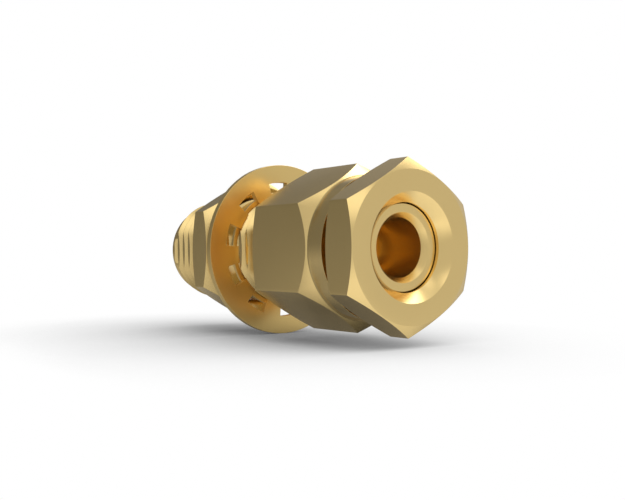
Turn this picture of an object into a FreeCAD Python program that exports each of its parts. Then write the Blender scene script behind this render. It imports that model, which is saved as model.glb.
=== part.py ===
import FreeCAD, Part
import Sketcher
import math
import os

# Coaxial bulkhead cable jack. X runs along the axis towards the cable, Z is up, and the origin
# is the centre of the face that the panel seats on. Lengths are in millimetres.

os.makedirs("parts", exist_ok=True)
doc = FreeCAD.newDocument("BulkheadJack")

# Driving sizes

SIZES = {
    # hexagons
    "across_flats": 8.0,
    "hex_face_step": 0.04,
    "hex_chamfer_angle": 30.0,
    # body outside
    "flange_length": 5.12,
    "flange_front_chamfer_angle": 47.0,
    "thread_dia": 6.35,
    "flat_distance": 2.95,
    "tail_length": 11.7,
    "tail_chamfer": 0.4,
    "boss_step": 0.1,
    "boss_length": 1.1,
    "boss_fillet": 0.22,
    "boss_mouth_chamfer": 0.2,
    # mating socket
    "socket_dia": 4.6,
    "socket_depth": 1.95,
    "socket_mouth_chamfer": 0.15,
    "line_bore_dia": 2.92,
    "front_line_length": 3.0,
    # bead, bushing and insulator stack
    "stack_dia": 4.2,
    "bead_length": 1.3,
    "bead_recess_depth": 0.3,
    "bead_recess_wall": 0.35,
    "cable_seat": 2.2,
    "insulator_dia": 3.4,
    "insulator_length": 1.2,
    "press_clearance": 0.01,
    # centre contact
    "contact_dia": 1.27,
    "contact_neck_dia": 0.86,
    "contact_setback": 0.05,
    "pin_bore_dia": 0.92,
    "pin_bore_depth": 2.4,
    "finger_slot_width": 0.16,
    "finger_slot_length": 2.0,
    "solder_bore_dia": 0.54,
    "solder_bore_depth": 1.8,
    "solder_port_dia": 0.4,
    "solder_port_place": 0.9,
    # cable ferrule
    "sleeve_dia": 4.5,
    "sleeve_end": 8.0,
    "sleeve_bore_dia": 3.11,
    "sleeve_mouth_width": 0.26,
    "sleeve_mouth_depth": 0.33,
    "ferrule_flange_clearance": 0.42,
    "ferrule_flange_length": 0.8,
    "cable_stop_dia": 2.6,
    "cable_stop_length": 0.5,
    # clamp nut
    "nut_gap": 0.445,
    "clamp_hex_length": 2.09,
    "clamp_thread_dia": 6.35,
    "clamp_hole_clearance": 0.06,
    "clamp_mouth_width": 0.53,
    "clamp_nose_chamfer": 0.3,
    # panel nut and lock washer
    "panel_nut_place": 5.11,
    "panel_nut_length": 1.74,
    "thread_clearance": 0.03,
    "nut_bore_chamfer": 0.25,
    "washer_place": 2.69,
    "washer_thickness": 0.39,
    "washer_clearance": 0.03,
    "ledge_width": 0.27,
    "window_width": 0.585,
    "washer_rim_width": 1.06,
    "window_angle": 18.5,
    "window_lead_angle": 12.2,
    "window_count": 10,
    "ledge_depth": 0.2,
}

sheet = doc.addObject("Spreadsheet::Sheet", "Sizes")
for row, (alias, value) in enumerate(SIZES.items(), start=1):
    sheet.set(f"A{row}", alias)
    sheet.set(f"B{row}", str(value))
    sheet.setAlias(f"B{row}", alias)
doc.recompute()


# Helpers for sketches and features

def new_body(name):
    body = doc.addObject("PartDesign::Body", name)
    body.Label = name
    return body


def origin_plane(body, role):
    return next(item for item in body.Origin.OriginFeatures if item.Role == role)


def new_sketch(body, name, role, offset=None):
    sketch = body.newObject("Sketcher::SketchObject", name)
    sketch.AttachmentSupport = [(origin_plane(body, role), "")]
    sketch.MapMode = "FlatFace"
    if offset:
        sketch.setExpression("AttachmentOffset.Base.z", offset)
    doc.recompute()
    return sketch


def value_of(expression):
    result = sheet.evalExpression(expression.replace("Sizes.", ""))
    return float(getattr(result, "Value", result))


def pin_point(sketch, edge, end, direction, expression):
    """Hold one coordinate of a point at an expression of the sheet's sizes."""
    if expression == "0":
        axis = -2 if direction == "DistanceX" else -1
        sketch.addConstraint(Sketcher.Constraint("PointOnObject", edge, end, axis))
        return
    constraint = Sketcher.Constraint(direction, edge, end, value_of(expression))
    index = sketch.addConstraint(constraint)
    sketch.setExpression(f"Constraints[{index}]", expression)


def closed_profile(body, name, role, corners, offset=None):
    """A closed polygon whose corners are pairs of expressions."""
    sketch = new_sketch(body, name, role, offset)
    points = [FreeCAD.Vector(value_of(x), value_of(y), 0) for x, y in corners]
    count = len(points)
    for i in range(count):
        sketch.addGeometry(Part.LineSegment(points[i], points[(i + 1) % count]), False)
    for i in range(count):
        sketch.addConstraint(Sketcher.Constraint("Coincident", i, 2, (i + 1) % count, 1))
    for i, (x, y) in enumerate(corners):
        pin_point(sketch, i, 1, "DistanceX", x)
        pin_point(sketch, i, 1, "DistanceY", y)
    doc.recompute()
    return sketch


def turn(body, name, sketch, kind="PartDesign::Revolution"):
    """Turn a profile a full round about the sketch's horizontal axis."""
    feature = body.newObject(kind, name)
    feature.Profile = sketch
    feature.ReferenceAxis = (sketch, ["H_Axis"])
    feature.Angle = 360.0
    sketch.Visibility = False
    doc.recompute()
    return feature


def bore(body, name, corners):
    """Cut a turned profile out of the body."""
    sketch = closed_profile(body, name + "Profile", "XZ_Plane", corners)
    return turn(body, name, sketch, "PartDesign::Groove")


def hex_prism(body, name, start, length):
    """A hexagon with corners up and down, from start along X."""
    corner = "Sizes.across_flats / sqrt(3)"
    half_corner = "Sizes.across_flats / sqrt(3) / 2"
    half_flats = "Sizes.across_flats / 2"
    corners = [
        ("0", corner),
        (f"-{half_flats}", half_corner),
        (f"-{half_flats}", f"-{half_corner}"),
        ("0", f"-{corner}"),
        (half_flats, f"-{half_corner}"),
        (half_flats, half_corner),
    ]
    sketch = closed_profile(body, name + "Outline", "YZ_Plane", corners, start)
    pad = body.newObject("PartDesign::Pad", name)
    pad.Profile = sketch
    pad.setExpression("Length", length)
    doc.recompute()
    return pad


def chamfer_hex_end(body, name, face, inward, step="Sizes.hex_face_step", angle="Sizes.hex_chamfer_angle"):
    """Turn a hexagon's corners down to a round face, which stands inside the flats by a step."""
    face_radius = f"(Sizes.across_flats / 2 - {step})"
    outside = "Sizes.across_flats"
    drop = f"({outside} - {face_radius}) * tan({angle} * 1 deg)"
    sign = "+" if inward > 0 else "-"
    corners = [
        (face, face_radius),
        (face, outside),
        (f"{face} {sign} {drop}", outside),
    ]
    return bore(body, name, corners)


# Outside and inside of the body

def make_connector_body():
    body = new_body("connector_body")
    hex_prism(body, "Flange", "0 mm", "Sizes.flange_length")
    chamfer_hex_end(body, "FlangeBackChamfer", "0", 1)
    front_angle = "Sizes.flange_front_chamfer_angle"
    chamfer_hex_end(body, "FlangeFrontChamfer", "Sizes.flange_length", -1, "Sizes.boss_step", front_angle)

    thread = "Sizes.thread_dia / 2"
    tail = closed_profile(body, "TailProfile", "XZ_Plane", [
        ("-Sizes.tail_length", "0"),
        ("Sizes.flange_length / 2", "0"),
        ("Sizes.flange_length / 2", thread),
        ("-Sizes.tail_length + Sizes.tail_chamfer", thread),
        ("-Sizes.tail_length", f"{thread} - Sizes.tail_chamfer"),
    ])
    turn(body, "Tail", tail)

    boss_end = "Sizes.flange_length + Sizes.boss_length"
    boss_radius = "(Sizes.across_flats / 2 - Sizes.boss_step)"
    boss = closed_profile(body, "BossProfile", "XZ_Plane", [
        ("Sizes.flange_length / 2", "0"),
        (boss_end, "0"),
        (boss_end, boss_radius),
        ("Sizes.flange_length / 2", boss_radius),
    ])
    turn(body, "Boss", boss)

    # the fillet runs round the root of the boss
    root_radius = value_of(boss_radius)
    root_place = value_of("Sizes.flange_length")
    base = body.Tip
    edge_name = None
    for number, edge in enumerate(base.Shape.Edges, start=1):
        if not isinstance(edge.Curve, Part.Circle):
            continue
        at_root = abs(edge.Curve.Center.x - root_place) < 0.01
        if at_root and abs(edge.Curve.Radius - root_radius) < 0.01:
            edge_name = f"Edge{number}"
    fillet = body.newObject("PartDesign::Fillet", "BossFillet")
    fillet.Base = (base, [edge_name])
    fillet.setExpression("Radius", "Sizes.boss_fillet")
    doc.recompute()

    # the flat that keys the body in a D-shaped panel hole faces -Y
    flat = closed_profile(body, "FlatProfile", "XY_Plane", [
        ("-2 * Sizes.tail_length", "-Sizes.flat_distance"),
        ("0", "-Sizes.flat_distance"),
        ("0", "-Sizes.thread_dia"),
        ("-2 * Sizes.tail_length", "-Sizes.thread_dia"),
    ])
    cut = body.newObject("PartDesign::Pocket", "KeyingFlat")
    cut.Profile = flat
    cut.Type = "ThroughAll"
    cut.Midplane = True
    doc.recompute()

    # one stepped bore runs through the body
    socket = "Sizes.socket_dia / 2"
    line = "Sizes.line_bore_dia / 2"
    stack = "Sizes.stack_dia / 2"
    chamber = "Sizes.clamp_thread_dia / 2 + Sizes.thread_clearance"
    reference = "-Sizes.tail_length + Sizes.socket_depth"
    bead_seat = f"{reference} + Sizes.front_line_length"
    bore(body, "ThroughBore", [
        ("-Sizes.tail_length", "0"),
        (boss_end, "0"),
        (boss_end, f"{chamber} + Sizes.boss_mouth_chamfer"),
        (f"{boss_end} - Sizes.boss_mouth_chamfer", chamber),
        ("Sizes.cable_seat", chamber),
        ("Sizes.cable_seat", stack),
        (bead_seat, stack),
        (bead_seat, line),
        (reference, line),
        (reference, socket),
        ("-Sizes.tail_length + Sizes.socket_mouth_chamfer", socket),
        ("-Sizes.tail_length", f"{socket} + Sizes.socket_mouth_chamfer"),
    ])
    return body


# Places of the pieces along the axis

REFERENCE = "(Sizes.socket_depth - Sizes.tail_length)"
BEAD_START = f"({REFERENCE} + Sizes.front_line_length)"
BEAD_END = f"({BEAD_START} + Sizes.bead_length)"
CLAMP_BACK = "(Sizes.flange_length + Sizes.boss_length + Sizes.nut_gap)"
CLAMP_FRONT = f"({CLAMP_BACK} + Sizes.clamp_hex_length)"
FLANGE_FRONT = "(Sizes.cable_seat + Sizes.ferrule_flange_length)"


# Pieces inside the body

def make_support_bead():
    body = new_body("support_bead")
    outer = "Sizes.stack_dia / 2 - Sizes.press_clearance"
    neck = "Sizes.contact_neck_dia / 2"
    recess_low = f"{neck} + Sizes.bead_recess_wall"
    recess_high = f"{outer} - Sizes.bead_recess_wall"
    low_floor = f"{BEAD_START} + Sizes.bead_recess_depth"
    high_floor = f"{BEAD_END} - Sizes.bead_recess_depth"
    profile = closed_profile(body, "BeadProfile", "XZ_Plane", [
        (BEAD_START, neck),
        (BEAD_START, recess_low),
        (low_floor, recess_low),
        (low_floor, recess_high),
        (BEAD_START, recess_high),
        (BEAD_START, outer),
        (BEAD_END, outer),
        (BEAD_END, recess_high),
        (high_floor, recess_high),
        (high_floor, recess_low),
        (BEAD_END, recess_low),
        (BEAD_END, neck),
    ])
    turn(body, "Bead", profile)
    return body


def make_line_bushing():
    body = new_body("line_bushing")
    outer = "Sizes.stack_dia / 2 - Sizes.press_clearance"
    line = "Sizes.line_bore_dia / 2"
    seat = "Sizes.insulator_dia / 2 + Sizes.press_clearance"
    seat_floor = "Sizes.cable_seat - Sizes.insulator_length"
    profile = closed_profile(body, "BushingProfile", "XZ_Plane", [
        (BEAD_END, line),
        (BEAD_END, outer),
        ("Sizes.cable_seat", outer),
        ("Sizes.cable_seat", seat),
        (seat_floor, seat),
        (seat_floor, line),
    ])
    turn(body, "Bushing", profile)
    return body


def make_cable_insulator():
    body = new_body("cable_insulator")
    start = "Sizes.cable_seat - Sizes.insulator_length"
    inner = "Sizes.contact_dia / 2 + Sizes.press_clearance"
    profile = closed_profile(body, "InsulatorProfile", "XZ_Plane", [
        (start, inner),
        (start, "Sizes.insulator_dia / 2"),
        ("Sizes.cable_seat", "Sizes.insulator_dia / 2"),
        ("Sizes.cable_seat", inner),
    ])
    turn(body, "Insulator", profile)
    return body


def make_centre_contact():
    body = new_body("centre_contact")
    front = f"({REFERENCE} + Sizes.contact_setback)"
    outer = "Sizes.contact_dia / 2"
    neck = "Sizes.contact_neck_dia / 2"
    pin = "Sizes.pin_bore_dia / 2"
    wire = "Sizes.solder_bore_dia / 2"
    profile = closed_profile(body, "ContactProfile", "XZ_Plane", [
        (front, pin),
        (front, outer),
        (BEAD_START, outer),
        (BEAD_START, neck),
        (BEAD_END, neck),
        (BEAD_END, outer),
        ("Sizes.cable_seat", outer),
        ("Sizes.cable_seat", wire),
        ("Sizes.cable_seat - Sizes.solder_bore_depth", wire),
        ("Sizes.cable_seat - Sizes.solder_bore_depth", "0"),
        (f"{front} + Sizes.pin_bore_depth", "0"),
        (f"{front} + Sizes.pin_bore_depth", pin),
    ])
    turn(body, "Contact", profile)

    # two crossed saw cuts make four spring fingers
    half_cut = "Sizes.finger_slot_width / 2"
    cut_end = f"{front} + Sizes.finger_slot_length"
    cut_start = f"{front} - Sizes.finger_slot_length"
    for name, role in (("FingerCutUpright", "XY_Plane"), ("FingerCutLevel", "XZ_Plane")):
        outline = closed_profile(body, name + "Outline", role, [
            (cut_start, half_cut),
            (cut_end, half_cut),
            (cut_end, f"-{half_cut}"),
            (cut_start, f"-{half_cut}"),
        ])
        cut = body.newObject("PartDesign::Pocket", name)
        cut.Profile = outline
        cut.Type = "ThroughAll"
        cut.Midplane = True
        doc.recompute()

    # a small hole lets solder into the cup for the cable's wire
    port = new_sketch(body, "SolderPortOutline", "XY_Plane")
    place = "Sizes.cable_seat - Sizes.solder_port_place"
    centre = FreeCAD.Vector(value_of(place), 0, 0)
    radius = value_of("Sizes.solder_port_dia") / 2
    port.addGeometry(Part.Circle(centre, FreeCAD.Vector(0, 0, 1), radius), False)
    pin_point(port, 0, 3, "DistanceX", place)
    pin_point(port, 0, 3, "DistanceY", "0")
    index = port.addConstraint(Sketcher.Constraint("Diameter", 0, 2 * radius))
    port.setExpression(f"Constraints[{index}]", "Sizes.solder_port_dia")
    drill = body.newObject("PartDesign::Pocket", "SolderPort")
    drill.Profile = port
    drill.setExpression("Length", "Sizes.contact_dia")
    drill.Reversed = True
    doc.recompute()
    return body


# Cable side

def make_cable_ferrule():
    body = new_body("cable_ferrule")
    cable = "Sizes.sleeve_bore_dia / 2"
    sleeve = "Sizes.sleeve_dia / 2"
    flange = "Sizes.clamp_thread_dia / 2 - Sizes.ferrule_flange_clearance"
    stop = "Sizes.cable_stop_dia / 2"
    stop_face = "Sizes.cable_seat + Sizes.cable_stop_length"
    profile = closed_profile(body, "FerruleProfile", "XZ_Plane", [
        ("Sizes.cable_seat", stop),
        ("Sizes.cable_seat", flange),
        (FLANGE_FRONT, flange),
        (FLANGE_FRONT, sleeve),
        ("Sizes.sleeve_end", sleeve),
        ("Sizes.sleeve_end", f"{cable} + Sizes.sleeve_mouth_width"),
        ("Sizes.sleeve_end - Sizes.sleeve_mouth_depth", cable),
        (stop_face, cable),
        (stop_face, stop),
    ])
    turn(body, "Ferrule", profile)
    return body


def make_clamp_nut():
    body = new_body("clamp_nut")
    hex_prism(body, "ClampHex", CLAMP_BACK, "Sizes.clamp_hex_length")
    chamfer_hex_end(body, "ClampBackChamfer", CLAMP_BACK, 1)
    chamfer_hex_end(body, "ClampFrontChamfer", CLAMP_FRONT, -1)

    nose = "Sizes.clamp_thread_dia / 2"
    nose_profile = closed_profile(body, "NoseProfile", "XZ_Plane", [
        (FLANGE_FRONT, "0"),
        (f"{CLAMP_BACK} + Sizes.clamp_hex_length / 2", "0"),
        (f"{CLAMP_BACK} + Sizes.clamp_hex_length / 2", nose),
        (f"{FLANGE_FRONT} + Sizes.clamp_nose_chamfer", nose),
        (FLANGE_FRONT, f"{nose} - Sizes.clamp_nose_chamfer"),
    ])
    turn(body, "ThreadedNose", nose_profile)

    hole = "Sizes.sleeve_dia / 2 + Sizes.clamp_hole_clearance"
    bore(body, "CableHole", [
        (FLANGE_FRONT, "0"),
        (CLAMP_FRONT, "0"),
        (CLAMP_FRONT, f"{hole} + Sizes.clamp_mouth_width"),
        (f"{CLAMP_FRONT} - Sizes.clamp_mouth_width", hole),
        (FLANGE_FRONT, hole),
    ])
    return body


# Panel side

def make_panel_nut():
    body = new_body("panel_nut")
    front = "-Sizes.panel_nut_place"
    back = f"({front} - Sizes.panel_nut_length)"
    hex_prism(body, "NutHex", back, "Sizes.panel_nut_length")
    chamfer_hex_end(body, "NutBackChamfer", back, 1)
    chamfer_hex_end(body, "NutFrontChamfer", front, -1)
    hole = "Sizes.thread_dia / 2 + Sizes.thread_clearance"
    bore(body, "NutBore", [
        (back, "0"),
        (front, "0"),
        (front, f"{hole} + Sizes.nut_bore_chamfer"),
        (f"{front} - Sizes.nut_bore_chamfer", hole),
        (f"{back} + Sizes.nut_bore_chamfer", hole),
        (back, f"{hole} + Sizes.nut_bore_chamfer"),
    ])
    return body


def ring_sector(body, name, inner, outer, offset):
    """A sector between two arcs, centred on the first window's direction."""
    sketch = new_sketch(body, name, "YZ_Plane", offset)
    low = math.radians(value_of("Sizes.window_lead_angle - Sizes.window_angle / 2"))
    high = math.radians(value_of("Sizes.window_lead_angle + Sizes.window_angle / 2"))
    zero = FreeCAD.Vector(0, 0, 0)
    up = FreeCAD.Vector(0, 0, 1)

    def point(radius, angle):
        return FreeCAD.Vector(-radius * math.cos(angle), radius * math.sin(angle), 0)

    radii = [value_of(inner), value_of(outer)]
    for radius in radii:
        circle = Part.Circle(zero, up, radius)
        sketch.addGeometry(Part.ArcOfCircle(circle, math.pi - high, math.pi - low), False)
    sketch.addGeometry(Part.LineSegment(point(radii[0], high), point(radii[1], high)), False)
    sketch.addGeometry(Part.LineSegment(point(radii[1], low), point(radii[0], low)), False)
    for arc, expression in ((0, inner), (1, outer)):
        sketch.addConstraint(Sketcher.Constraint("Coincident", arc, 3, -1, 1))
        index = sketch.addConstraint(Sketcher.Constraint("Radius", arc, value_of(expression)))
        sketch.setExpression(f"Constraints[{index}]", expression)
    sketch.addConstraint(Sketcher.Constraint("Coincident", 0, 1, 2, 1))
    sketch.addConstraint(Sketcher.Constraint("Coincident", 1, 1, 2, 2))
    sketch.addConstraint(Sketcher.Constraint("Coincident", 1, 2, 3, 1))
    sketch.addConstraint(Sketcher.Constraint("Coincident", 0, 2, 3, 2))
    sides = (
        (2, "180 deg - (Sizes.window_lead_angle + Sizes.window_angle / 2) * 1 deg"),
        (3, "-(Sizes.window_lead_angle - Sizes.window_angle / 2) * 1 deg"),
    )
    for line, expression in sides:
        angle = math.radians(value_of(expression))
        index = sketch.addConstraint(Sketcher.Constraint("Angle", line, angle))
        sketch.setExpression(f"Constraints[{index}]", expression)
    doc.recompute()
    return sketch


def ring_pattern(body, name, feature):
    pattern = body.newObject("PartDesign::PolarPattern", name)
    pattern.Originals = [feature]
    pattern.Axis = (origin_plane(body, "X_Axis"), [""])
    pattern.Angle = 360.0
    pattern.setExpression("Occurrences", "Sizes.window_count")
    body.Tip = pattern
    doc.recompute()
    return pattern


def make_lock_washer():
    body = new_body("lock_washer")
    front = "-Sizes.washer_place"
    back = f"{front} - Sizes.washer_thickness"
    hole = "(Sizes.thread_dia / 2 + Sizes.washer_clearance)"
    window_inner = f"({hole} + Sizes.ledge_width)"
    window_outer = f"({window_inner} + Sizes.window_width)"
    rim = f"({window_outer} + Sizes.washer_rim_width)"
    profile = closed_profile(body, "WasherProfile", "XZ_Plane", [
        (back, hole),
        (back, rim),
        (front, rim),
        (front, hole),
    ])
    turn(body, "WasherDisc", profile)

    window = body.newObject("PartDesign::Pocket", "Window")
    window.Profile = ring_sector(body, "WindowOutline", window_inner, window_outer, front)
    window.setExpression("Length", "Sizes.washer_thickness")
    doc.recompute()
    ring_pattern(body, "Windows", window)

    # a low ledge closes each window on the shaft's side
    low = f"{hole} - Sizes.washer_clearance / 2"
    high = f"{window_inner} + Sizes.window_width / 2"
    ledge = body.newObject("PartDesign::Pocket", "Ledge")
    ledge.Profile = ring_sector(body, "LedgeOutline", low, high, front)
    ledge.setExpression("Length", "Sizes.ledge_depth")
    doc.recompute()
    ring_pattern(body, "Ledges", ledge)
    return body


MAKERS = [
    make_connector_body,
    make_support_bead,
    make_line_bushing,
    make_cable_insulator,
    make_centre_contact,
    make_cable_ferrule,
    make_clamp_nut,
    make_panel_nut,
    make_lock_washer,
]
subparts = [maker() for maker in MAKERS]
doc.recompute()

# Every object and shape is tested before anything is written

for item in doc.Objects:
    if "Invalid" in item.State or "Error" in item.State:
        raise RuntimeError(f"{item.Name} failed: {item.State}")
for body in subparts:
    if body.Shape.isNull() or not body.Shape.isValid():
        raise RuntimeError(f"{body.Label} has no valid shape")
    if len(body.Shape.Solids) != 1:
        raise RuntimeError(f"{body.Label} isn't one solid")

for body in subparts:
    body.Shape.exportStep(f"parts/{body.Label}.step")
    bounds = body.Shape.BoundBox
    print(body.Label, round(body.Shape.Volume, 3), "mm3, x", round(bounds.XMin, 3), "to", round(bounds.XMax, 3))
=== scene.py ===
import math

import bmesh
import bpy
from mathutils import Matrix, Vector


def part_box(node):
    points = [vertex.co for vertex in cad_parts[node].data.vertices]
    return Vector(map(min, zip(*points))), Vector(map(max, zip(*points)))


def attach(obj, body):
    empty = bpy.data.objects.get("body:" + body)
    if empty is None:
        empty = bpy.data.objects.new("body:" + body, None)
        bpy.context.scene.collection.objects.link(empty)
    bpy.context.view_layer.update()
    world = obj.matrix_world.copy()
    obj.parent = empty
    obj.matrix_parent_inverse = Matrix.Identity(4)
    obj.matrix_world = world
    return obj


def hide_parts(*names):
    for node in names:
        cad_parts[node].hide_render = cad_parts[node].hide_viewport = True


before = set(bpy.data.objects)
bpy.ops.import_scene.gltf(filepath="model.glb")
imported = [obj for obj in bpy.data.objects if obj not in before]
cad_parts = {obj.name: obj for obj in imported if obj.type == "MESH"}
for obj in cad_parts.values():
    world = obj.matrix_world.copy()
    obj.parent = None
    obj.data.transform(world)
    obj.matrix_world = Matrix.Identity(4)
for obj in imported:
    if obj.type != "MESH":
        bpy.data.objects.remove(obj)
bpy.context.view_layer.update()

# Lengths are in metres. X runs along the connector's axis towards the cable and Z is up.
# Angles round the axis are measured from +Y towards +Z.

MM = 0.001


# Sizes that several pieces share

APOTHEM = 4.0 * MM
CORNER = 0.02 * MM
EDGE = 0.012 * MM
FINE_EDGE = 0.008 * MM
FACE_STEP = 0.04 * MM
CHAMFER = math.tan(math.radians(30.0))

PITCH = 25.4 * MM / 36
CREST = 3.175 * MM
CORE = 2.59 * MM
CREST_WIDTH = 0.015 * MM
ROOT_WIDTH = 0.04 * MM
CREST_PLACE = -2.19 * MM
THREAD_CLEARANCE = 0.03 * MM
THREAD_BORE = CREST + THREAD_CLEARANCE
FLANK_CLIMB = math.tan(math.radians(60.0))

FLAT_SIDE = math.pi
FLAT_DISTANCE = 2.95 * MM

# Connector body, from the socket in its tail to the boss that takes the clamp nut

TAIL_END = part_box("connector_body")[0][0]
BOSS_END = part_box("connector_body")[1][0]
LEAD_RADIUS = 2.88 * MM
LEAD_EDGE = 0.06 * MM
LEAD_LENGTH = 0.34 * MM
THREAD_START = TAIL_END + LEAD_LENGTH
THREAD_IN_FLANGE = 0.4 * MM
FLANGE_FRONT = 5.12 * MM
FLANGE_CHAMFER = math.tan(math.radians(47.0))
BOSS_RADIUS = 3.9 * MM
BOSS_FILLET = 0.22 * MM
SOCKET = 2.3 * MM
SOCKET_MOUTH = 0.15 * MM
SOCKET_DEPTH = 1.95 * MM
REFERENCE = TAIL_END + SOCKET_DEPTH
LINE = 1.46 * MM
BEAD_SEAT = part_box("support_bead")[0][0]
STACK = 2.1 * MM
CABLE_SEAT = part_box("cable_ferrule")[0][0]
BOSS_MOUTH = 0.2 * MM

# Clamp nut

NOSE_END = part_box("clamp_nut")[0][0]
CLAMP_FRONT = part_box("clamp_nut")[1][0]
CLAMP_BACK = 6.665 * MM
NOSE_CHAMFER = 0.3 * MM
THREAD_IN_NUT = 0.3 * MM
CABLE_HOLE = 2.31 * MM
CONE_WIDTH = 0.53 * MM

# Ferrule

SLEEVE_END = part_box("cable_ferrule")[1][0]
FERRULE_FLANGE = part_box("cable_ferrule")[1][2]
FERRULE_FLANGE_LENGTH = 0.8 * MM
SLEEVE = 2.25 * MM
SLEEVE_MOUTH_WIDTH = 0.26 * MM
SLEEVE_MOUTH_DEPTH = 0.33 * MM
CABLE_BORE = 1.555 * MM
STOP_BORE = 1.3 * MM
STOP_LENGTH = 0.5 * MM

# Panel nut

NUT_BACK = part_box("panel_nut")[0][0]
NUT_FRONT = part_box("panel_nut")[1][0]
NUT_BORE_CHAMFER = 0.25 * MM

# Lock washer

WASHER_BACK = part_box("lock_washer")[0][0]
WASHER_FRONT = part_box("lock_washer")[1][0]
WASHER_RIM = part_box("lock_washer")[1][2]
WINDOW_INNER = 3.475 * MM
WINDOW_OUTER = 4.06 * MM
WINDOW_COUNT = 10
WINDOW_ANGLE = math.radians(18.5)
WINDOW_LEAD = math.radians(12.2)
LEDGE_DEPTH = 0.2 * MM


def add_object(name, data):
    thing = bpy.data.objects.new(name, data)
    bpy.context.scene.collection.objects.link(thing)
    return thing


# Camera, as fitted to the photograph

PHOTO_WIDTH = 625
FOCAL_PIXELS = 854.0
SENSOR_WIDTH = 36.0
CAMERA_PLACE = Vector((40.15, -29.69, -0.427)) * MM
CAMERA_FORWARD = Vector((-0.80215, 0.59708, 0.00715))
CAMERA_UP = Vector((0.00683, -0.0028, 0.99997))
NEAREST_SEEN = 1 * MM
FARTHEST_SEEN = 100.0


def add_camera():
    data = bpy.data.cameras.new("photo_camera")
    data.sensor_fit = "HORIZONTAL"
    data.sensor_width = SENSOR_WIDTH
    data.lens = FOCAL_PIXELS / PHOTO_WIDTH * SENSOR_WIDTH
    data.clip_start = NEAREST_SEEN
    data.clip_end = FARTHEST_SEEN
    forward = CAMERA_FORWARD.normalized()
    right = forward.cross(CAMERA_UP).normalized()
    up = right.cross(forward).normalized()
    turn = Matrix((right, up, -forward)).transposed().to_4x4()
    camera = add_object("photo_camera", data)
    camera.matrix_world = Matrix.Translation(CAMERA_PLACE) @ turn
    bpy.context.scene.camera = camera


# Node helpers for materials

NOISE_LOW = 0.3
NOISE_HIGH = 0.7


class Nodes:
    """Makes and links the nodes of one tree."""

    def __init__(self, tree):
        self.tree = tree
        tree.nodes.clear()

    def add(self, kind, **settings):
        node = self.tree.nodes.new(kind)
        for name, value in settings.items():
            setattr(node, name, value)
        return node

    def link(self, source, output, target, socket):
        self.tree.links.new(source.outputs[output], target.inputs[socket])

    def spread(self, source, output, low, high, to_low, to_high):
        """Maps an output that runs from low to high onto the range from to_low to to_high."""
        node = self.add("ShaderNodeMapRange")
        self.link(source, output, node, "Value")
        for name, value in zip(("From Min", "From Max", "To Min", "To Max"), (low, high, to_low, to_high)):
            node.inputs[name].default_value = value
        return node

    def noise(self, scale, detail):
        """Noise fixed to the object, with about scale waves to the metre."""
        place = self.add("ShaderNodeTexCoord")
        node = self.add("ShaderNodeTexNoise")
        node.inputs["Scale"].default_value = scale
        node.inputs["Detail"].default_value = detail
        self.link(place, "Object", node, "Vector")
        return node

    def ramp(self, source, output, low, high):
        """Runs from the colour low to the colour high as the noise rises."""
        node = self.add("ShaderNodeValToRGB")
        first, last = node.color_ramp.elements
        first.position, first.color = NOISE_LOW, (*low, 1)
        last.position, last.color = NOISE_HIGH, (*high, 1)
        self.link(source, output, node, "Fac")
        return node


def material(name):
    made = bpy.data.materials.new(name)
    made.use_nodes = True
    nodes = Nodes(made.node_tree)
    output = nodes.add("ShaderNodeOutputMaterial")
    shader = nodes.add("ShaderNodeBsdfPrincipled")
    nodes.link(shader, "BSDF", output, "Surface")
    return made, nodes, shader


# Finishes. A noise is given by its scale and its detail.

GOLD_CLOUDS = (420.0, 3.0)
GOLD_PATCHES = (2600.0, 4.0)
GOLD_GRAIN = (16000.0, 2.0)
GRAIN_HEIGHT = 0.001 * MM
PLASTIC_CLOUDS = (900.0, 3.0)
PLASTIC_GLOSS_CHANGE = 0.06


def gold(name, light, dark, smooth, rough, grain):
    """Satin gold plating with slight clouding of its colour and gloss, and a fine grain."""
    made, nodes, shader = material(name)
    shader.inputs["Metallic"].default_value = 1.0
    clouds = nodes.noise(*GOLD_CLOUDS)
    tint = nodes.ramp(clouds, "Fac", dark, light)
    nodes.link(tint, "Color", shader, "Base Color")
    patches = nodes.noise(*GOLD_PATCHES)
    gloss = nodes.spread(patches, "Fac", NOISE_LOW, NOISE_HIGH, smooth, rough)
    nodes.link(gloss, "Result", shader, "Roughness")
    fine = nodes.noise(*GOLD_GRAIN)
    bump = nodes.add("ShaderNodeBump")
    bump.inputs["Strength"].default_value = grain
    bump.inputs["Distance"].default_value = GRAIN_HEIGHT
    nodes.link(fine, "Fac", bump, "Height")
    nodes.link(bump, "Normal", shader, "Normal")
    return made


def plastic(name, light, dark, rough):
    """Machined insulator plastic with a faint clouding."""
    made, nodes, shader = material(name)
    clouds = nodes.noise(*PLASTIC_CLOUDS)
    tint = nodes.ramp(clouds, "Fac", dark, light)
    nodes.link(tint, "Color", shader, "Base Color")
    smooth, dull = rough - PLASTIC_GLOSS_CHANGE, rough + PLASTIC_GLOSS_CHANGE
    gloss = nodes.spread(clouds, "Fac", NOISE_LOW, NOISE_HIGH, smooth, dull)
    nodes.link(gloss, "Result", shader, "Roughness")
    return made


plating = gold(
    "satin_gold", light=(0.95, 0.705, 0.30), dark=(0.935, 0.69, 0.29), smooth=0.19, rough=0.22, grain=0.02)
washer_plating = gold(
    "washer_gold", light=(0.95, 0.69, 0.27), dark=(0.935, 0.675, 0.26), smooth=0.28, rough=0.31, grain=0.02)
bore_plating = gold(
    "bore_gold", light=(0.95, 0.70, 0.29), dark=(0.94, 0.69, 0.285), smooth=0.26, rough=0.27, grain=0.004)
bright_plating = gold(
    "contact_gold", light=(0.96, 0.72, 0.31), dark=(0.945, 0.705, 0.30), smooth=0.11, rough=0.14, grain=0.01)
amber = plastic("amber_bead", light=(0.62, 0.36, 0.12), dark=(0.52, 0.28, 0.08), rough=0.38)


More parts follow.
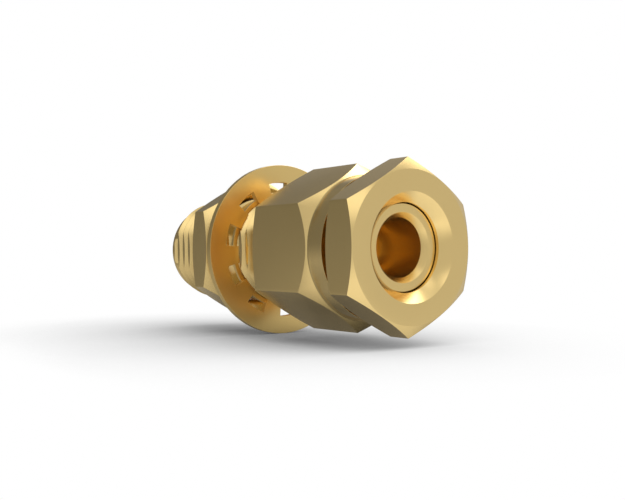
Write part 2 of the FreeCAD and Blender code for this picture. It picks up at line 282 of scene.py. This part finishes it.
# Meshes and how they are finished. Points closer than the weld distances become one.

RING_WELD = 0.00001 * MM
THREAD_WELD = 0.00002 * MM
SOLID_WELD = 0.0001 * MM

# Edges that turn by more than these angles, in degrees, stay sharp

RING_SHARP = 9
THREAD_SHARP = 25
SOLID_SHARP = 30


def weld(mesh, distance):
    edit = bmesh.new()
    edit.from_mesh(mesh)
    bmesh.ops.remove_doubles(edit, verts=edit.verts, dist=distance)
    bmesh.ops.recalc_face_normals(edit, faces=edit.faces)
    edit.to_mesh(mesh)
    edit.free()


def mesh_object(name, points, faces, distance):
    mesh = bpy.data.meshes.new(name)
    mesh.from_pydata(points, [], faces)
    weld(mesh, distance)
    return add_object(name, mesh)


def finish_surface(thing, sharp_angle, made):
    """Smooth shading up to an edge angle, and the piece's material."""
    thing.data.materials.append(made)
    thing.data.shade_smooth()
    thing.data.set_sharp_from_angle(angle=math.radians(sharp_angle))


def place_piece(thing, body, node):
    """Ties a piece to the body that it moves with, and hides the solid that it stands for."""
    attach(thing, body)
    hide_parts(node)


# Profiles are lists of (x, radius, fillet), closed round the ring that they sweep

FILLET_STEPS = 3
WIDE_FILLET = 0.1 * MM
WIDE_FILLET_STEPS = 12
SETBACK_SHARE = 0.45
LEAST_ROOM = 0.00001 * MM
NEARLY_STRAIGHT = math.radians(89.5)


def rounded(corners):
    """The closed profile with each corner replaced by an arc, always of the same number of points."""
    points = []
    count = len(corners)
    for index, (x, r, fillet) in enumerate(corners):
        here = Vector((x, r))
        if fillet == 0:
            points.append(here)
            continue
        steps = WIDE_FILLET_STEPS if fillet > WIDE_FILLET else FILLET_STEPS
        before = Vector(corners[index - 1][:2]) - here
        after = Vector(corners[(index + 1) % count][:2]) - here
        room = SETBACK_SHARE * min(before.length, after.length)
        half = before.angle(after) / 2 if room > LEAST_ROOM else math.pi / 2
        if half > NEARLY_STRAIGHT:
            points.extend([here] * (steps + 1))
            continue
        before.normalize()
        after.normalize()
        setback = min(fillet / math.tan(half), room)
        radius = setback * math.tan(half)
        centre = here + (before + after).normalized() * (radius / math.sin(half))
        start = here + before * setback - centre
        end = here + after * setback - centre
        sweep = start.angle_signed(end, 0.0)
        for step in range(steps + 1):
            part = -sweep * step / steps
            arm = Vector((
                start.x * math.cos(part) - start.y * math.sin(part),
                start.x * math.sin(part) + start.y * math.cos(part),
            ))
            points.append(centre + arm)
    return points


def even_angles(count):
    return [math.tau * step / count for step in range(count)]


def ring(name, angles, column):
    """A closed ring whose profile at each angle is the list of (x, radius) that column gives."""
    columns = [column(angle) for angle in angles]
    size = len(columns[0])
    points = []
    for angle, profile in zip(angles, columns):
        across, up = math.cos(angle), math.sin(angle)
        points.extend((x, r * across, r * up) for x, r in profile)
    faces = []
    total = len(columns)
    for place in range(total):
        near, far = place * size, (place + 1) % total * size
        for index in range(size):
            other = (index + 1) % size
            faces.append((near + index, near + other, far + other, far + index))
    return mesh_object(name, points, faces, RING_WELD)


# Hexagons, with corners up and down, rounded by arcs whose middles lie CORNER_MIDDLE from the axis

SIXTH = math.pi / 3
CORNER_MIDDLE = (APOTHEM - CORNER) / math.cos(SIXTH / 2)
CORNER_REACH = math.atan2(CORNER / 2, CORNER_MIDDLE + CORNER * math.cos(SIXTH / 2))
CORNER_STEPS = 3
SIDE_STEPS = 36
HEXAGON_FACE = APOTHEM - FACE_STEP


def hex_radius(angle):
    """Distance from the axis to the hexagon."""
    off = abs(angle % SIXTH - SIXTH / 2)
    if off < CORNER_REACH:
        return CORNER_MIDDLE * math.cos(off) + math.sqrt(CORNER ** 2 - (CORNER_MIDDLE * math.sin(off)) ** 2)
    return APOTHEM / math.cos(SIXTH / 2 - off)


def hex_angles():
    """Angles of the columns round a hexagon, closer together at its corners."""
    angles = []
    for side in range(6):
        corner = side * SIXTH + SIXTH / 2
        turns = range(-CORNER_STEPS, CORNER_STEPS + 1)
        angles.extend(corner + CORNER_REACH * turn / CORNER_STEPS for turn in turns)
        low, high = corner + CORNER_REACH, corner + SIXTH - CORNER_REACH
        angles.extend(low + (high - low) * step / SIDE_STEPS for step in range(1, SIDE_STEPS))
    return sorted(angle % math.tau for angle in angles)


def hex_side(angle, low, high, low_radius, high_radius, high_slope=CHAMFER):
    """The outside of a hexagon from low to high, with a cone turned on each end."""
    radius = hex_radius(angle)
    low_edge = low + max(radius - low_radius, 0.0) * CHAMFER
    high_edge = high - max(radius - high_radius, 0.0) * high_slope
    return [(low_edge, radius, EDGE), (high_edge, radius, EDGE)]


# Screw threads

SPARE_TURNS = 3
TAIL_COLUMNS = 200
NOSE_COLUMNS = 160


def thread_radius(along):
    """Radius of a sharp thread at a distance from the middle of its nearest crest."""
    off = abs((along + PITCH / 2) % PITCH - PITCH / 2)
    depth = (off - CREST_WIDTH / 2) * FLANK_CLIMB
    deepest = (PITCH / 2 - CREST_WIDTH / 2 - ROOT_WIDTH / 2) * FLANK_CLIMB
    return CREST - min(max(depth, 0.0), deepest)


def flank_offsets(widest):
    """Offsets of one pitch's rows from a crest's middle. One is where the flank meets the widest radius."""
    crest = CREST_WIDTH / 2
    root = PITCH / 2 - ROOT_WIDTH / 2
    meet = min(max(crest + (CREST - widest) / FLANK_CLIMB, crest), root)
    middle = (meet + root) / 2
    return [-root, -middle, -meet, -crest, crest, meet, middle, root]


def threaded_shell(name, start, end, start_radius, columns):
    """A right-handed thread round the core, with a 45 degree cone on its start.

    Each column is an angle and the widest that the thread is there. Its rows follow the helix, and
    those past the thread's ends gather on the end faces."""
    first = math.floor((start - CREST_PLACE) / PITCH) - SPARE_TURNS
    last = math.ceil((end - CREST_PLACE) / PITCH) + SPARE_TURNS
    points = []
    for angle, widest in columns:
        across, up = math.cos(angle), math.sin(angle)
        crest = CREST_PLACE + PITCH * (angle - FLAT_SIDE) / math.tau
        points.append((start, CORE * across, CORE * up))
        for turn in range(first, last):
            for offset in flank_offsets(widest):
                x = min(max(crest + turn * PITCH + offset, start), end)
                r = min(thread_radius(x - crest), widest, start_radius + x - start)
                points.append((x, r * across, r * up))
        points.append((end, CORE * across, CORE * up))
    faces = []
    total = len(columns)
    size = len(points) // total
    pitch_rows = (size - 2) // (last - first)
    for place in range(total):
        near = place * size
        far = (place + 1) % total * size
        shift = pitch_rows if place == total - 1 else 0
        for index in range(size - 1):
            other = index + 1
            far_index = 0 if index == 0 else min(index + shift, size - 2)
            far_other = size - 1 if other == size - 1 else min(other + shift, size - 2)
            faces.append((near + index, near + other, far + far_other, far + far_index))
        faces.append((near + size - 1, near, far, far + size - 1))
    return mesh_object(name, points, faces, THREAD_WELD)


def tail_columns():
    """The tail's columns, with extra ones where its keying flat starts and ends on the crests."""
    reach = math.acos(FLAT_DISTANCE / CREST)
    angles = even_angles(TAIL_COLUMNS)
    angles.extend([FLAT_SIDE - reach, FLAT_SIDE + reach])
    columns = []
    for angle in sorted(angles):
        off = abs(angle - FLAT_SIDE)
        widest = FLAT_DISTANCE / math.cos(off) if off < reach else CREST
        columns.append((angle, widest))
    return columns


# The pieces

def make_connector_body():
    def column(angle):
        return rounded([
            (TAIL_END, LEAD_RADIUS, LEAD_EDGE),
            (THREAD_START, LEAD_RADIUS, 0),
            (THREAD_START, CORE, 0),
            (0.0, CORE, 0),
            (0.0, HEXAGON_FACE, FINE_EDGE),
            *hex_side(angle, 0.0, FLANGE_FRONT, HEXAGON_FACE, BOSS_RADIUS, FLANGE_CHAMFER),
            (FLANGE_FRONT, BOSS_RADIUS, BOSS_FILLET),
            (FLANGE_FRONT + BOSS_FILLET, BOSS_RADIUS, 0),
            (BOSS_END, BOSS_RADIUS, EDGE),
            (BOSS_END, THREAD_BORE + BOSS_MOUTH, FINE_EDGE),
            (BOSS_END - BOSS_MOUTH, THREAD_BORE, FINE_EDGE),
            (CABLE_SEAT, THREAD_BORE, 0),
            (CABLE_SEAT, STACK, 0),
            (BEAD_SEAT, STACK, 0),
            (BEAD_SEAT, LINE, 0),
            (REFERENCE, LINE, FINE_EDGE),
            (REFERENCE, SOCKET, FINE_EDGE),
            (TAIL_END + SOCKET_MOUTH, SOCKET, FINE_EDGE),
            (TAIL_END, SOCKET + SOCKET_MOUTH, FINE_EDGE),
        ])

    shell = ring("connector_shell", hex_angles(), column)
    finish_surface(shell, RING_SHARP, plating)
    place_piece(shell, "body", "connector_body")
    thread = threaded_shell("body_thread", THREAD_START, THREAD_IN_FLANGE, LEAD_RADIUS, tail_columns())
    finish_surface(thread, THREAD_SHARP, plating)
    place_piece(thread, "body", "connector_body")


def make_clamp_nut():
    def column(angle):
        return rounded([
            (NOSE_END, CORE, 0),
            (CLAMP_BACK, CORE, 0),
            (CLAMP_BACK, HEXAGON_FACE, FINE_EDGE),
            *hex_side(angle, CLAMP_BACK, CLAMP_FRONT, HEXAGON_FACE, HEXAGON_FACE),
            (CLAMP_FRONT, HEXAGON_FACE, EDGE),
            (CLAMP_FRONT, CABLE_HOLE + CONE_WIDTH, EDGE),
            (CLAMP_FRONT - CONE_WIDTH, CABLE_HOLE, FINE_EDGE),
            (NOSE_END, CABLE_HOLE, FINE_EDGE),
        ])

    shell = ring("clamp_nut_shell", hex_angles(), column)
    finish_surface(shell, RING_SHARP, plating)
    place_piece(shell, "clamp", "clamp_nut")
    columns = [(angle, CREST) for angle in even_angles(NOSE_COLUMNS)]
    thread_end = CLAMP_BACK + THREAD_IN_NUT
    thread = threaded_shell("clamp_nut_thread", NOSE_END, thread_end, CREST - NOSE_CHAMFER, columns)
    finish_surface(thread, THREAD_SHARP, plating)
    place_piece(thread, "clamp", "clamp_nut")


FERRULE_COLUMNS = 200


def make_cable_ferrule():
    profile = rounded([
        (CABLE_SEAT, STOP_BORE, FINE_EDGE),
        (CABLE_SEAT, FERRULE_FLANGE, EDGE),
        (CABLE_SEAT + FERRULE_FLANGE_LENGTH, FERRULE_FLANGE, EDGE),
        (CABLE_SEAT + FERRULE_FLANGE_LENGTH, SLEEVE, FINE_EDGE),
        (SLEEVE_END, SLEEVE, FINE_EDGE),
        (SLEEVE_END, CABLE_BORE + SLEEVE_MOUTH_WIDTH, EDGE),
        (SLEEVE_END - SLEEVE_MOUTH_DEPTH, CABLE_BORE, EDGE),
        (CABLE_SEAT + STOP_LENGTH, CABLE_BORE, 0),
        (CABLE_SEAT + STOP_LENGTH, STOP_BORE, FINE_EDGE),
    ])
    shell = ring("cable_ferrule_turned", even_angles(FERRULE_COLUMNS), lambda angle: profile)
    finish_surface(shell, RING_SHARP, bore_plating)
    place_piece(shell, "ferrule", "cable_ferrule")


def make_panel_nut():
    def column(angle):
        return rounded([
            (NUT_BACK, THREAD_BORE + NUT_BORE_CHAMFER, FINE_EDGE),
            (NUT_BACK, HEXAGON_FACE, FINE_EDGE),
            *hex_side(angle, NUT_BACK, NUT_FRONT, HEXAGON_FACE, HEXAGON_FACE),
            (NUT_FRONT, HEXAGON_FACE, FINE_EDGE),
            (NUT_FRONT, THREAD_BORE + NUT_BORE_CHAMFER, FINE_EDGE),
            (NUT_FRONT - NUT_BORE_CHAMFER, THREAD_BORE, FINE_EDGE),
            (NUT_BACK + NUT_BORE_CHAMFER, THREAD_BORE, FINE_EDGE),
        ])

    shell = ring("panel_nut_shell", hex_angles(), column)
    finish_surface(shell, RING_SHARP, plating)
    place_piece(shell, "nut", "panel_nut")


# The washer is a grid of columns round the axis, levels along it and circles out from it

WINDOW_STEPS = 4
BRIDGE_STEPS = 6
BACK, LEDGE, FRONT = range(3)
BORE, INNER, OUTER, RIM = range(4)
BEVEL_SEGMENTS = 2
BEVELLED_FROM = math.radians(40)


def washer_columns():
    """Each column's angle, and whether a window lies between it and the next column."""
    step = math.tau / WINDOW_COUNT
    bridge = step - WINDOW_ANGLE
    columns = []
    for window in range(WINDOW_COUNT):
        start = FLAT_SIDE - WINDOW_LEAD + window * step - WINDOW_ANGLE / 2
        columns.extend((start + WINDOW_ANGLE * part / WINDOW_STEPS, True) for part in range(WINDOW_STEPS))
        end = start + WINDOW_ANGLE
        columns.extend((end + bridge * part / BRIDGE_STEPS, False) for part in range(BRIDGE_STEPS))
    return columns


def washer_faces(near, far, window, opens, closes):
    """Faces between two columns. A window has a ledge inside it that is open to the bore."""

    def wall(level, circle):
        corners = ((near, level), (far, level), (far, level + 1), (near, level + 1))
        return [(column, height, circle) for column, height in corners]

    def flat(level, circle):
        corners = ((near, circle), (far, circle), (far, circle + 1), (near, circle + 1))
        return [(column, level, out) for column, out in corners]

    def end(column, level, circle):
        corners = ((level, circle), (level, circle + 1), (level + 1, circle + 1), (level + 1, circle))
        return [(column, height, out) for height, out in corners]

    faces = [wall(BACK, RIM), wall(LEDGE, RIM), wall(BACK, BORE)]
    faces.extend([flat(BACK, BORE), flat(BACK, OUTER), flat(FRONT, OUTER)])
    if not window:
        faces.extend([wall(LEDGE, BORE), flat(BACK, INNER), flat(FRONT, BORE), flat(FRONT, INNER)])
        return faces
    faces.extend([flat(LEDGE, BORE), wall(BACK, INNER), wall(BACK, OUTER), wall(LEDGE, OUTER)])
    for column, at_end in ((near, opens), (far, closes)):
        if at_end:
            faces.extend([end(column, LEDGE, BORE), end(column, BACK, INNER), end(column, LEDGE, INNER)])
    return faces


def make_lock_washer():
    levels = [WASHER_BACK, WASHER_FRONT - LEDGE_DEPTH, WASHER_FRONT]
    circles = [THREAD_BORE, WINDOW_INNER, WINDOW_OUTER, WASHER_RIM]
    angles, windows = zip(*washer_columns())
    corners = []
    for near, window in enumerate(windows):
        far = (near + 1) % len(windows)
        corners.extend(washer_faces(near, far, window, not windows[near - 1], not windows[far]))
    used = sorted({corner for face in corners for corner in face})
    number = {corner: index for index, corner in enumerate(used)}
    points = []
    for column, level, circle in used:
        angle, r = angles[column], circles[circle]
        points.append((levels[level], r * math.cos(angle), r * math.sin(angle)))
    faces = [[number[corner] for corner in face] for face in corners]
    disc = mesh_object("lock_washer_disc", points, faces, RING_WELD)
    bevel = disc.modifiers.new("edges", "BEVEL")
    bevel.width = EDGE
    bevel.segments = BEVEL_SEGMENTS
    bevel.limit_method = "ANGLE"
    bevel.angle_limit = BEVELLED_FROM
    finish_surface(disc, RING_SHARP, washer_plating)
    place_piece(disc, "washer", "lock_washer")


def carry_over(node, made):
    """A copy of the mesh of a solid inside the body, with its edges shaded by angle."""
    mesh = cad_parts[node].data.copy()
    mesh.materials.clear()
    weld(mesh, SOLID_WELD)
    thing = add_object(node + "_turned", mesh)
    finish_surface(thing, SOLID_SHARP, made)
    place_piece(thing, "body", node)


def make_inner_pieces():
    carry_over("support_bead", amber)
    carry_over("line_bushing", plating)
    carry_over("cable_insulator", amber)
    carry_over("centre_contact", bright_plating)


# Studio

FLOOR_REACH = 3.0
SHADOW_REACH = 14 * MM
SHADOW_SAMPLES = 16
SHADOW_DEPTH = 1.2
SHADOW_LEAN = Vector((0.40, 0.20, 0.90)).normalized()
SKY_LEVEL = 0.17
SKY_RISE = 0.03

# Soft areas of light round the object, each with its direction (degrees round from +X, degrees up),
# the angles from its middle at which it ends and at which it is full, and its level

LIGHT_AREAS = [
    ((18, 6), 96, 82, 0.40),
    ((96, 53), 27, 5, 2.60),
    ((-11, 36), 21, 3, 0.60),
    ((-22, 70), 15, 4, 0.20),
    ((154, 82), 47, 30, 0.24),
    ((10, -52), 55, 30, 0.40),
    ((-50, -33), 23, 7, 0.15),
    ((-131, -45), 53, 2, 0.30),
    ((160, -38), 42, 14, 0.34),
    ((140, 19), 18, 2, 0.40),
]


def heading(around, up):
    around, up = math.radians(around), math.radians(up)
    return Vector((math.cos(around) * math.cos(up), math.sin(around) * math.cos(up), math.sin(up)))


def make_floor():
    """A white floor with the object's shadow. The metal mirrors the shadow, and the studio through it."""
    corners = [(-1, -1), (1, -1), (1, 1), (-1, 1)]
    points = [(x * FLOOR_REACH, y * FLOOR_REACH, -WASHER_RIM) for x, y in corners]
    mesh = bpy.data.meshes.new("floor")
    mesh.from_pydata(points, [], [(0, 1, 2, 3)])
    floor = add_object("floor", mesh)
    made = bpy.data.materials.new("floor_white")
    made.use_nodes = True
    nodes = Nodes(made.node_tree)
    output = nodes.add("ShaderNodeOutputMaterial")
    shade = nodes.add("ShaderNodeAmbientOcclusion", samples=SHADOW_SAMPLES)
    shade.inputs["Distance"].default_value = SHADOW_REACH
    lean = nodes.add("ShaderNodeCombineXYZ")
    for axis, value in zip("XYZ", SHADOW_LEAN):
        lean.inputs[axis].default_value = value
    nodes.link(lean, "Vector", shade, "Normal")
    deeper = nodes.add("ShaderNodeGamma")
    deeper.inputs["Gamma"].default_value = SHADOW_DEPTH
    nodes.link(shade, "Color", deeper, "Color")
    glow = nodes.add("ShaderNodeEmission")
    nodes.link(deeper, "Color", glow, "Color")
    clear = nodes.add("ShaderNodeBsdfTransparent")
    nodes.link(deeper, "Color", clear, "Color")
    path = nodes.add("ShaderNodeLightPath")
    mix = nodes.add("ShaderNodeMixShader")
    nodes.link(path, "Is Glossy Ray", mix, 0)
    nodes.link(glow, "Emission", mix, 1)
    nodes.link(clear, "BSDF", mix, 2)
    nodes.link(mix, "Shader", output, "Surface")
    mesh.materials.append(made)


def make_world():
    """The studio that lights the object and that its metal mirrors. The camera sees white behind it."""
    world = bpy.data.worlds.new("studio")
    bpy.context.scene.world = world
    world.use_nodes = True
    nodes = Nodes(world.node_tree)
    output = nodes.add("ShaderNodeOutputWorld")
    place = nodes.add("ShaderNodeTexCoord")
    height = nodes.add("ShaderNodeSeparateXYZ")
    nodes.link(place, "Generated", height, 0)
    total = nodes.spread(height, "Z", -1.0, 1.0, SKY_LEVEL - SKY_RISE, SKY_LEVEL + SKY_RISE)
    for toward, outer, inner, level in LIGHT_AREAS:
        near = nodes.add("ShaderNodeVectorMath", operation="DOT_PRODUCT")
        nodes.link(place, "Generated", near, 0)
        near.inputs[1].default_value = heading(*toward)
        low, high = math.cos(math.radians(outer)), math.cos(math.radians(inner))
        area = nodes.spread(near, "Value", low, high, 0.0, level)
        area.interpolation_type = "SMOOTHSTEP"
        both = nodes.add("ShaderNodeMath", operation="ADD")
        nodes.link(total, 0, both, 0)
        nodes.link(area, "Result", both, 1)
        total = both
    studio = nodes.add("ShaderNodeBackground")
    backdrop = nodes.add("ShaderNodeBackground")
    for background in (studio, backdrop):
        background.inputs["Color"].default_value = (1.0, 1.0, 1.0, 1.0)
    nodes.link(total, 0, studio, "Strength")
    path = nodes.add("ShaderNodeLightPath")
    mix = nodes.add("ShaderNodeMixShader")
    nodes.link(path, "Is Camera Ray", mix, 0)
    nodes.link(studio, "Background", mix, 1)
    nodes.link(backdrop, "Background", mix, 2)
    nodes.link(mix, "Shader", output, "Surface")


add_camera()
make_connector_body()
make_clamp_nut()
make_cable_ferrule()
make_panel_nut()
make_lock_washer()
make_inner_pieces()
make_floor()
make_world()

bpy.context.scene.view_settings.view_transform = "Standard"
